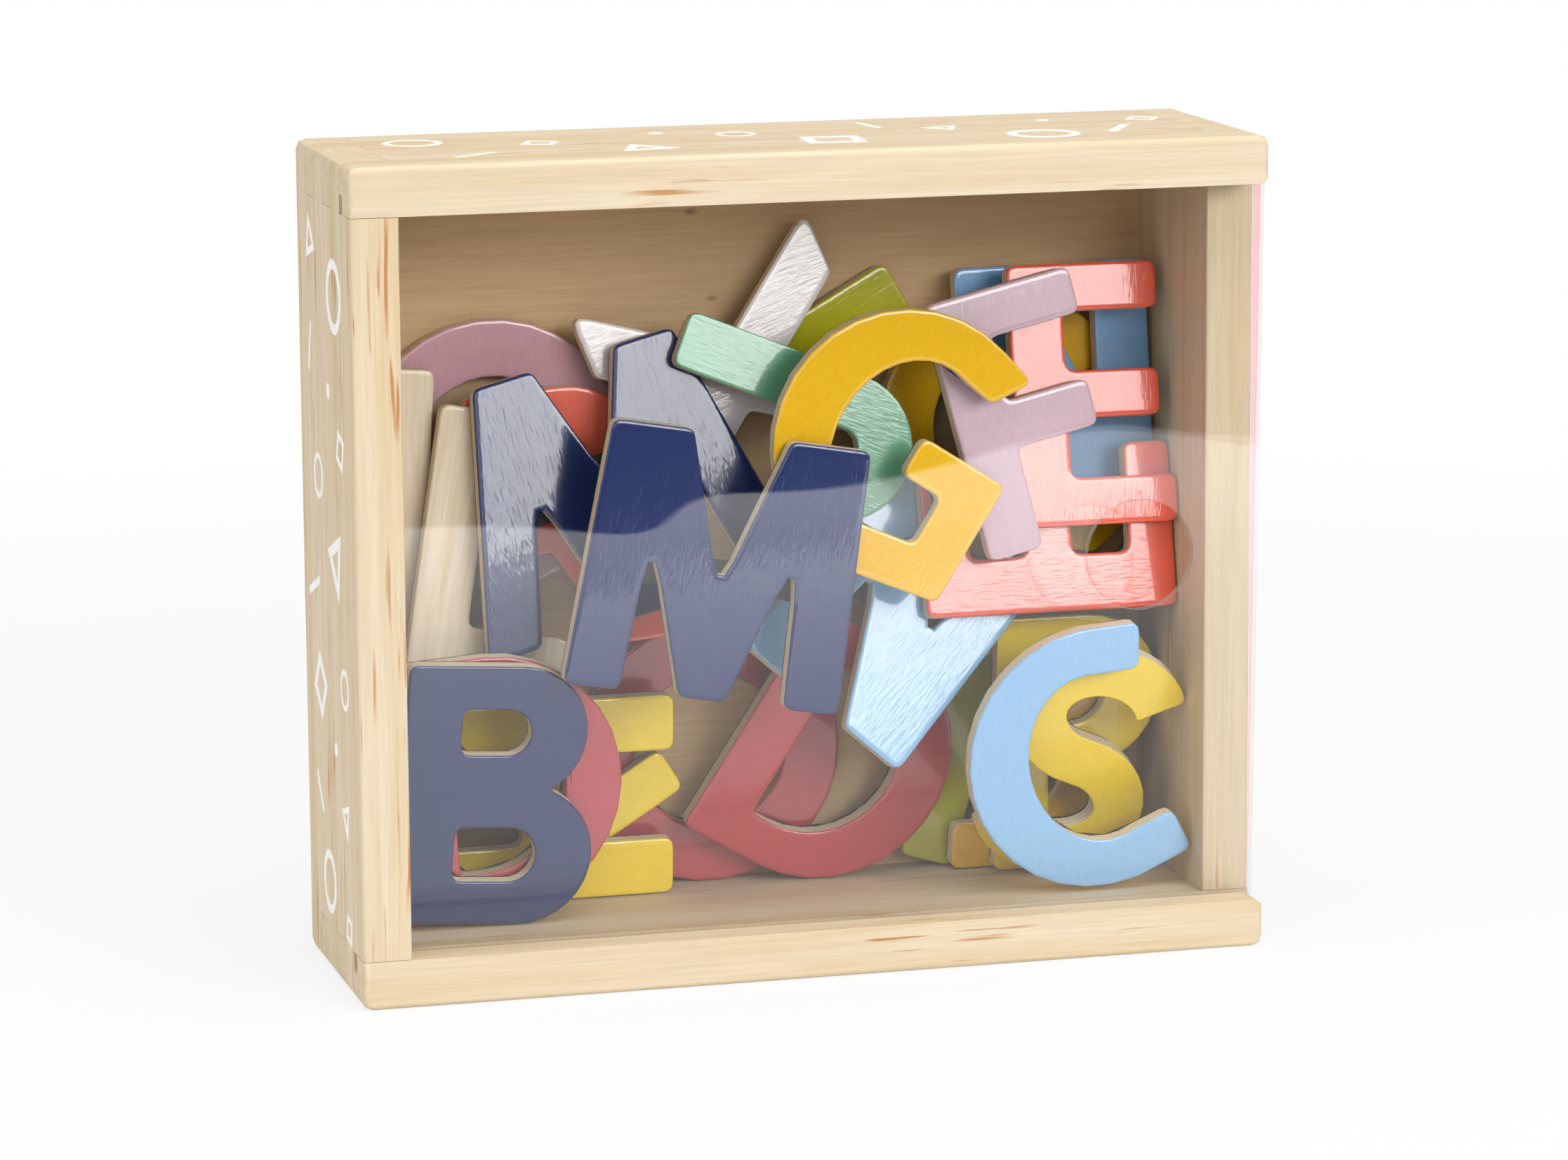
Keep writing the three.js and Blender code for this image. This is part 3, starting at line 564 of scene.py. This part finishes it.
def softenRim(piece, front, spec):
    # a wide rounding of the lacquered face, pressed shallow so that most of the sawn edge still shows
    reach = max(vertex.co.dot(front) for vertex in piece.data.vertices)
    selectOnly(piece)
    bpy.ops.object.mode_set(mode="EDIT")
    bpy.ops.mesh.select_all(action="DESELECT")
    shape = bmesh.from_edit_mesh(piece.data)
    for edge in shape.edges:
        towards = [face.normal.dot(front) for face in edge.link_faces]
        edge.select_set(max(towards) > spec["faceFrom"] and min(towards) < spec["edgeTo"])
    bmesh.update_edit_mesh(piece.data)
    bpy.ops.mesh.bevel(
        offset=spec["rimWidth"] * mm, segments=spec["rimSteps"], affect="EDGES",
        clamp_overlap=piece.name in spec["tight"], loop_slide=False, material=0,
    )
    shape = bmesh.from_edit_mesh(piece.data)
    for vertex in shape.verts:
        fall = (reach - vertex.co.dot(front)) / (spec["rimWidth"] * mm)
        if 0 < fall < 1 + spec["rimSlack"]:
            pressed = spec["rimDrop"] * fall ** spec["rimCurve"]
            vertex.co += front * (fall * spec["rimWidth"] - pressed) * mm
    bmesh.update_edit_mesh(piece.data)
    bpy.ops.object.mode_set(mode="OBJECT")


def mapLetter(piece, front, turn):
    # the letter's own axes for its grain, and the depth in its plies, 0 at the foil and 1 at the lacquer
    levelUp = Vector((1, 0, 0)).cross(-front)
    up = Matrix.Rotation(math.radians(turn), 3, front) @ levelUp
    across = up.cross(front)
    grainMap = piece.data.uv_layers.new(name="grain")
    for corner in piece.data.loops:
        point = piece.data.vertices[corner.vertex_index].co
        grainMap.data[corner.index].uv = (point.dot(across), point.dot(up))
    depths = [vertex.co.dot(front) for vertex in piece.data.vertices]
    back = min(depths)
    thickness = max(depths) - back
    plyDepth = piece.data.attributes.new("plyDepth", "FLOAT", "POINT")
    for i, depth in enumerate(depths):
        plyDepth.data[i].value = (depth - back) / thickness


def shapeLetter(piece, turn, spec):
    front = frontOf(piece)
    for face in piece.data.polygons:
        face.material_index = 0 if face.normal.dot(front) > spec["faceFrom"] else 1
    softenRim(piece, front, spec)
    mapLetter(piece, front, turn)
    smoothPiece(piece, spec["smooth"])


def bodyOf(nodeName):
    bodies = frame["record"]["behaviour"]["bodies"]
    return next(body for body, nodes in bodies.items() if nodeName in nodes)


def dressLetters():
    slots = {row["node"]: row["material_slot"] for row in frame["record"]["subparts"]}
    edge = sawnPlyEdge("plywood edge, sawn", plySpec)
    foil = magnetFoil("magnet foil", foilSpec)
    finishes = {
        colour + "_lacquer": glossLacquer("gloss lacquer, " + colour, code, lacquerSpec)
        for colour, code in lacquers.items()
    }
    finishes["clear_lacquered_plywood"] = lacqueredBirch("birch plywood, clear lacquer", birchSpec)
    for name, slot in slots.items():
        if slot in finishes:
            piece = cleanCopy(name, name + "_letter")
            piece.data.materials.append(finishes[slot])
            piece.data.materials.append(edge)
            shapeLetter(piece, letterTurns.get(name, 0), letterSpec)
            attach(piece, bodyOf(name))
            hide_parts(name)
        elif slot == foilSpec["slot"]:
            node = frame["nodes"][name]
            node.data.materials.clear()
            node.data.materials.append(foil)


dressLetters()
print("letters dressed")


# Sliding lid, with the reflection of the box's pink right end painted at its end

lidSpec = {
    "tint": "fefefe", "roughness": 0.015,
    "mirror": 0.04, "slantPower": 5.0,      # mirror share seen square on, and how late it grows
    "cutEdge": "a9a29b", "cutShare": 0.42,
    "rim": 3.0,                             # mm: the outer edges lie in the grooves and stay clear
    "flatFrom": 0.9,                        # cosine to the front, below which a face is a cut edge
    "easedEdge": 0.25, "easedFrom": 1.0,    # mm: rounding, and the shortest edge that gets it
    "smooth": 30,                           # degrees
    "slot": "clear_acrylic",
}


def clearAcrylic(name, spec):
    # cast acrylic sheet, polished: clear, with the mirror image that its two faces give
    material, tree = newMaterial(name)
    clear = addNode(tree, "ShaderNodeBsdfTransparent", {"Color": hexColour(spec["tint"])})
    gloss = addNode(tree, "ShaderNodeBsdfGlossy", {"Roughness": spec["roughness"]})
    slant = addNode(tree, "ShaderNodeLayerWeight", {"Blend": 0.5})
    steep = addNode(tree, "ShaderNodeMath", {
        0: slant.outputs["Facing"], 1: spec["slantPower"],
    }, operation="POWER")
    mirror = addNode(tree, "ShaderNodeMath", {
        0: steep.outputs["Value"], 1: 1 - spec["mirror"], 2: spec["mirror"],
    }, operation="MULTIPLY_ADD")
    shader = addNode(tree, "ShaderNodeMixShader", {
        0: mirror.outputs["Value"], 1: clear.outputs["BSDF"], 2: gloss.outputs["BSDF"],
    })
    addNode(tree, "ShaderNodeOutputMaterial", {"Surface": shader.outputs["Shader"]})
    return material


def acrylicCutEdge(name, spec):
    # edge of the acrylic as the cutter left it: frosted, so it shows as a thin grey line
    material, tree = newMaterial(name)
    clear = addNode(tree, "ShaderNodeBsdfTransparent", {"Color": hexColour(spec["tint"])})
    frost = addNode(tree, "ShaderNodeBsdfDiffuse", {"Color": hexColour(spec["cutEdge"])})
    shader = addNode(tree, "ShaderNodeMixShader", {
        0: spec["cutShare"], 1: clear.outputs["BSDF"], 2: frost.outputs["BSDF"],
    })
    addNode(tree, "ShaderNodeOutputMaterial", {"Surface": shader.outputs["Shader"]})
    return material


def dressLid(spec):
    lid = cleanCopy("sliding_lid", "sliding_lid_sheet")
    easeLongEdges(lid, spec["easedEdge"], spec["easedFrom"])
    lid.data.materials.append(clearAcrylic("cast acrylic, polished", spec))
    lid.data.materials.append(acrylicCutEdge("cast acrylic, cut edge", spec))
    low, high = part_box("sliding_lid")
    rim = spec["rim"] * mm
    for face in lid.data.polygons:
        centre = face.center
        offRim = low.x + rim < centre.x < high.x - rim and low.z + rim < centre.z < high.z - rim
        inHole = offRim and abs(face.normal.y) < spec["flatFrom"]
        face.material_index = 1 if inHole else 0
    smoothPiece(lid, spec["smooth"])
    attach(lid, "lid")
    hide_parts("sliding_lid")


# the painted reflection of the box's pink right end, as the lid's overhang shows it
pinkSpec = {
    "colour": "f8c9cd", "tones": (0.97, 1.03), "mottle": 2.5,   # mm
    "roughness": 0.5,
    "skin": 0.15, "tip": 0.05,                                  # mm: thickness, and width at the bottom
    "slot": "rose_lacquer",
}


def paintedPinkReflection(name, spec):
    # painted reflection of the box's pink right end, which shows through the lid where it stands out past the
    # right wall; laid behind the clear sheet: flat and matt, with a faint mottle
    material, tree = newMaterial(name)
    place = addNode(tree, "ShaderNodeTexCoord")
    mottle = addNode(tree, "ShaderNodeTexNoise", {
        "Vector": place.outputs["Object"], "Scale": 1 / (spec["mottle"] * mm), "Detail": 2.0,
    })
    shader = addNode(tree, "ShaderNodeBsdfPrincipled", {
        "Base Color": shadeColour(tree, hexColour(spec["colour"])[:3], mottle.outputs["Fac"], spec["tones"]),
        "Roughness": spec["roughness"],
    })
    addNode(tree, "ShaderNodeOutputMaterial", {"Surface": shader.outputs["BSDF"]})
    return material


def addPinkStrip(spec):
    # a wedge over the part of the lid that stands out past the right wall, carrying the painted pink
    # reflection that shows there
    low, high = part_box("sliding_lid")
    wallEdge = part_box("right_wall")[1].x
    bpy.ops.object.select_all(action="DESELECT")
    bpy.ops.mesh.primitive_plane_add(size=1)
    strip = bpy.context.object
    strip.name = "pink_strip"
    for vertex in strip.data.vertices:
        atTop = vertex.co.y > 0
        outerEdge = high.x if atTop else wallEdge + spec["tip"] * mm
        across = outerEdge if vertex.co.x > 0 else wallEdge
        vertex.co = (across, high.y + spec["skin"] * mm, high.z if atTop else low.z)
    skin = strip.modifiers.new("skin", "SOLIDIFY")
    skin.thickness = spec["skin"] * mm
    skin.offset = 0
    bpy.ops.object.modifier_apply(modifier=skin.name)
    # painted reflection: the pink of the box's right end, seen through the lid's overhang
    strip.data.materials.append(paintedPinkReflection("pink end reflection, painted", spec))
    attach(strip, "lid")


dressLid(lidSpec)
addPinkStrip(pinkSpec)
print("lid dressed")


# White prints on the outside: plain geometric figures, as a screen prints them

printSpec = {
    "ink": "f5f3ef", "tones": (0.92, 1.02),
    "fibresPerMm": 1.5,      # raised fibres that wear through the ink
    "roughness": 0.55,
    "film": 0.05,            # mm
    "roundSteps": 40,
    "slot": "white_lacquer",
}
topPrints = [   # figure, across, along, size and line in mm, turn in degrees
    ("ring", -78, 12, 13, 1.6, 0), ("bar", -70, -14, 12, 1.5, 35), ("square", -52, 4, 10, 1.3, 20),
    ("triangle", -33, -12, 15, 2.0, 10), ("dot", -24, 15, 3.4, 0, 0), ("ring", -8, 8, 9, 1.2, 0),
    ("square", 9, -9, 18, 2.4, 40), ("bar", 24, 16, 11, 1.6, 100), ("triangle", 38, 6, 10, 1.4, 190),
    ("ring", 55, -12, 16, 2.2, 0), ("dot", 63, 14, 3.0, 0, 0), ("bar", 74, -6, 14, 2.0, 60),
    ("square", 85, 11, 9, 1.2, 15),
]
leftPrints = [
    ("triangle", -15, 158, 12, 1.6, 15), ("ring", 11, 149, 16, 2.2, 0), ("bar", -17, 135, 11, 1.5, 75),
    ("dot", 3, 128, 3.4, 0, 0), ("square", 15, 117, 10, 1.4, 25), ("ring", -10, 108, 10, 1.3, 0),
    ("triangle", 8, 92, 18, 2.4, 200), ("bar", -17, 83, 13, 1.8, 20), ("square", -12, 62, 15, 2.1, 8),
    ("ring", 15, 66, 9, 1.2, 0), ("dot", 4, 51, 3.2, 0, 0), ("triangle", 14, 38, 10, 1.4, 75),
    ("bar", -15, 38, 10, 1.4, 130), ("ring", -6, 20, 14, 1.9, 0), ("square", 15, 14, 8, 1.2, 35),
]


def screenInk(name, spec):
    # screen-printed white ink on sanded pine: thin, matt, a little worn where the fibres stand up
    material, tree = newMaterial(name)
    place = addNode(tree, "ShaderNodeTexCoord")
    wear = addNode(tree, "ShaderNodeTexNoise", {
        "Vector": place.outputs["Object"], "Scale": spec["fibresPerMm"] / mm, "Detail": 3.0,
    })
    shader = addNode(tree, "ShaderNodeBsdfPrincipled", {
        "Base Color": shadeColour(tree, hexColour(spec["ink"])[:3], wear.outputs["Fac"], spec["tones"]),
        "Roughness": spec["roughness"],
    })
    addNode(tree, "ShaderNodeOutputMaterial", {"Surface": shader.outputs["BSDF"]})
    return material


def addFigure(figure, size, line, spec):
    # one figure flat on the ground at the origin, of the given size over all
    bpy.ops.object.select_all(action="DESELECT")
    if figure == "bar":
        bpy.ops.mesh.primitive_plane_add(size=1)
        bpy.context.object.scale = (size * mm, line * mm, 1)
        bpy.ops.object.transform_apply(location=False, rotation=False, scale=True)
        return bpy.context.object
    sides = {"ring": spec["roundSteps"], "dot": spec["roundSteps"], "triangle": 3, "square": 4}[figure]
    bpy.ops.mesh.primitive_circle_add(vertices=sides, radius=size / 2 * mm, fill_type="NGON")
    if figure != "dot":
        bpy.ops.object.mode_set(mode="EDIT")
        bpy.ops.mesh.select_mode(type="FACE")
        bpy.ops.mesh.select_all(action="SELECT")
        bpy.ops.mesh.inset(thickness=line * mm, use_even_offset=True)
        bpy.ops.mesh.delete(type="FACE")
        bpy.ops.object.mode_set(mode="OBJECT")
    return bpy.context.object


def addPrints(name, prints, placeOnFace, material, spec):
    figures = []
    for figure, across, along, size, line, turn in prints:
        shape = addFigure(figure, size, line, spec)
        spot = Matrix.Translation((across * mm, along * mm, 0))
        shape.data.transform(placeOnFace @ spot @ Matrix.Rotation(math.radians(turn), 4, "Z"))
        figures.append(shape)
    selectOnly(figures[0])
    for shape in figures:
        shape.select_set(True)
    bpy.ops.object.join()
    piece = bpy.context.object
    piece.name = name
    film = piece.modifiers.new("film", "SOLIDIFY")
    film.thickness = spec["film"] * mm
    film.offset = 1
    bpy.ops.object.modifier_apply(modifier=film.name)
    piece.data.materials.append(material)
    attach(piece, "box_and_pile")


ink = screenInk("screen ink, white", printSpec)
topFace = Matrix.Translation((0, 0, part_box("top_wall")[1].z))
leftFace = Matrix((   # across runs to the front and along runs up
    (0, 0, -1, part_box("left_wall")[0].x),
    (-1, 0, 0, 0),
    (0, 1, 0, 0),
    (0, 0, 0, 1),
))
addPrints("top_prints", topPrints, topFace, ink, printSpec)
addPrints("left_prints", leftPrints, leftFace, ink, printSpec)
print("prints added")


# Floor, light and background

floorSpec = {
    "colour": "d9d9d9",
    "width": 6000.0, "backEdge": 8000.0,    # mm
    "frontEdge": [                          # mm, as the lid mirrors it
        (-300, -590), (32, -588), (64, -580), (91, -540), (112, -587), (131, -626), (168, -605), (233, -662),
        (293, -724), (318, -690), (345, -640), (700, -640),
    ],
    "edgeLevels": 3,                        # subdivisions that round the front edge
    "shadowReach": (300.0, 750.0),          # mm from the object, over which its shadow fades to plain white
    "whiteShare": 0.8,                      # share of plain white that the camera sees beside the object
    "paintedMirrorReach": (-194.0, -590.0),        # mm along Y, over which the floor's painted reflection in the lid gets brighter; it is dimmer near the object as painted shade
    "paintedMirrorLight": (1.1, 2.7),              # its brightness there, near the object and far from it
    "paintedMirrorRise": 2.0,                      # a power above 1 makes it rise late
}


def floorPaper(name, spec):
    # white paper: it takes the object's shadow and turns plain white further out; in the lid it shows as a
    # painted reflection that glows, dimmer near the object as painted shade
    material, tree = newMaterial(name)
    light = addNode(tree, "ShaderNodeLightPath")
    place = addNode(tree, "ShaderNodeTexCoord")
    distance = addNode(tree, "ShaderNodeVectorMath", {0: place.outputs["Object"]}, operation="LENGTH")
    near, far = spec["shadowReach"]
    share = addNode(tree, "ShaderNodeMapRange", {
        "Value": distance.outputs["Value"], "From Min": near * mm, "From Max": far * mm,
        "To Min": spec["whiteShare"], "To Max": 1.0,
    }, interpolation_type="SMOOTHSTEP")
    seen = addNode(tree, "ShaderNodeMath", {
        0: light.outputs["Is Camera Ray"], 1: share.outputs["Result"],
    }, operation="MULTIPLY")
    plain = addNode(tree, "ShaderNodeMath", {
        0: seen.outputs["Value"], 1: light.outputs["Is Glossy Ray"],
    }, operation="MAXIMUM")
    spot = addNode(tree, "ShaderNodeSeparateXYZ", {"Vector": place.outputs["Object"]})
    nearEdge, farEdge = spec["paintedMirrorReach"]
    reach = addNode(tree, "ShaderNodeMapRange", {
        "Value": spot.outputs["Y"], "From Min": nearEdge * mm, "From Max": farEdge * mm,
    })
    rise = addNode(tree, "ShaderNodeMath", {
        0: reach.outputs["Result"], 1: spec["paintedMirrorRise"],
    }, operation="POWER")
    nearLight, farLight = spec["paintedMirrorLight"]
    paintedMirror = addNode(tree, "ShaderNodeMapRange", {
        "Value": rise.outputs["Value"], "To Min": nearLight, "To Max": farLight,
    })
    # painted reflection: for gloss rays the floor glows, dimmer near the object as painted shade and brighter
    # far out
    brightness = addNode(tree, "ShaderNodeMix", {
        0: light.outputs["Is Glossy Ray"], 2: 1.0, 3: paintedMirror.outputs["Result"],
    })
    paper = addNode(tree, "ShaderNodeBsdfDiffuse", {"Color": hexColour(spec["colour"])})
    white = addNode(tree, "ShaderNodeEmission", {"Color": (1, 1, 1, 1), "Strength": brightness.outputs[0]})
    shader = addNode(tree, "ShaderNodeMixShader", {
        0: plain.outputs["Value"], 1: paper.outputs["BSDF"], 2: white.outputs["Emission"],
    })
    addNode(tree, "ShaderNodeOutputMaterial", {"Surface": shader.outputs["Shader"]})
    return material


def addFloor(spec):
    # a white sheet whose front edge the lid mirrors
    corners = spec["frontEdge"]
    leftEnd = (-spec["width"], corners[0][1])
    rightEnd = (spec["width"], corners[-1][1])
    edge = [leftEnd, *corners, rightEnd]
    front = [(x * mm, y * mm, 0) for x, y in edge]
    back = [(x * mm, spec["backEdge"] * mm, 0) for x, y in edge]
    faces = [(i, i + 1, len(edge) + i + 1, len(edge) + i) for i in range(len(edge) - 1)]
    mesh = bpy.data.meshes.new("floor")
    mesh.from_pydata(front + back, [], faces)
    floor = bpy.data.objects.new("floor", mesh)
    bpy.context.scene.collection.objects.link(floor)
    selectOnly(floor)
    soft = floor.modifiers.new("soft", "SUBSURF")
    soft.levels = soft.render_levels = spec["edgeLevels"]
    bpy.ops.object.modifier_apply(modifier=soft.name)
    floor.data.materials.append(floorPaper("floor", spec))


lampTarget = Vector((0, 0, 90)) * mm
lamps = {   # degrees right of the front and up, m, degrees of roll
    "key": {"towards": (24.2, 20.6), "distance": 1.7, "size": (1.17, 0.52), "roll": 16, "radiance": 8.6},
    "fill": {"towards": (-17, 15), "distance": 1.9, "size": (1.2, 0.9), "roll": 0, "radiance": 1.1},
    "left": {"towards": (-78, 18), "distance": 1.9, "size": (1.4, 1.4), "roll": 0, "radiance": 2.3},
    "top": {"towards": (10, 78), "distance": 1.9, "size": (1.6, 1.6), "roll": 0, "radiance": 3.8},
}


def addLamp(name, spec):
    azimuth, elevation = (math.radians(angle) for angle in spec["towards"])
    level = math.cos(elevation)
    outward = Vector((math.sin(azimuth) * level, -math.cos(azimuth) * level, math.sin(elevation)))
    data = bpy.data.lights.new(name, "AREA")
    data.shape = "RECTANGLE"
    data.size, data.size_y = spec["size"]
    data.energy = spec["radiance"] * math.pi * data.size * data.size_y
    lamp = bpy.data.objects.new(name, data)
    bpy.context.scene.collection.objects.link(lamp)
    lamp.visible_camera = False
    turn = outward.to_track_quat("Z", "Y").to_matrix().to_4x4()
    roll = Matrix.Rotation(math.radians(spec["roll"]), 4, outward)
    lamp.matrix_world = Matrix.Translation(lampTarget + outward * spec["distance"]) @ roll @ turn


worldSpec = {
    "skyLight": 0.34, "lowLight": 0.12,   # brightness above and below the horizon
    "lowMirror": 0.02,                    # brightness below it that gloss shows
    "horizon": (-0.02, 0.06),             # rise of a ray over which the one becomes the other
}


def addWorld(spec):
    world = bpy.data.worlds.new("studio")
    world.use_nodes = True
    tree = world.node_tree
    tree.nodes.clear()
    light = addNode(tree, "ShaderNodeLightPath")
    place = addNode(tree, "ShaderNodeTexCoord")
    ray = addNode(tree, "ShaderNodeSeparateXYZ", {"Vector": place.outputs["Generated"]})
    lowLevel = addNode(tree, "ShaderNodeMath", {
        0: light.outputs["Is Glossy Ray"], 1: spec["lowMirror"] - spec["lowLight"], 2: spec["lowLight"],
    }, operation="MULTIPLY_ADD")
    below, above = spec["horizon"]
    level = addNode(tree, "ShaderNodeMapRange", {
        "Value": ray.outputs["Z"], "From Min": below, "From Max": above,
        "To Min": lowLevel.outputs["Value"], "To Max": spec["skyLight"],
    })
    white = (1, 1, 1, 1)
    studio = addNode(tree, "ShaderNodeBackground", {"Color": white, "Strength": level.outputs["Result"]})
    backdrop = addNode(tree, "ShaderNodeBackground", {"Color": white, "Strength": 1.0})
    shader = addNode(tree, "ShaderNodeMixShader", {
        0: light.outputs["Is Camera Ray"], 1: studio.outputs["Background"], 2: backdrop.outputs["Background"],
    })
    addNode(tree, "ShaderNodeOutputWorld", {"Surface": shader.outputs["Shader"]})
    bpy.context.scene.world = world


addFloor(floorSpec)
for lampName, lampSpec in lamps.items():
    addLamp(lampName, lampSpec)
addWorld(worldSpec)
bpy.context.scene.view_settings.view_transform = "Standard"
print("stage set")
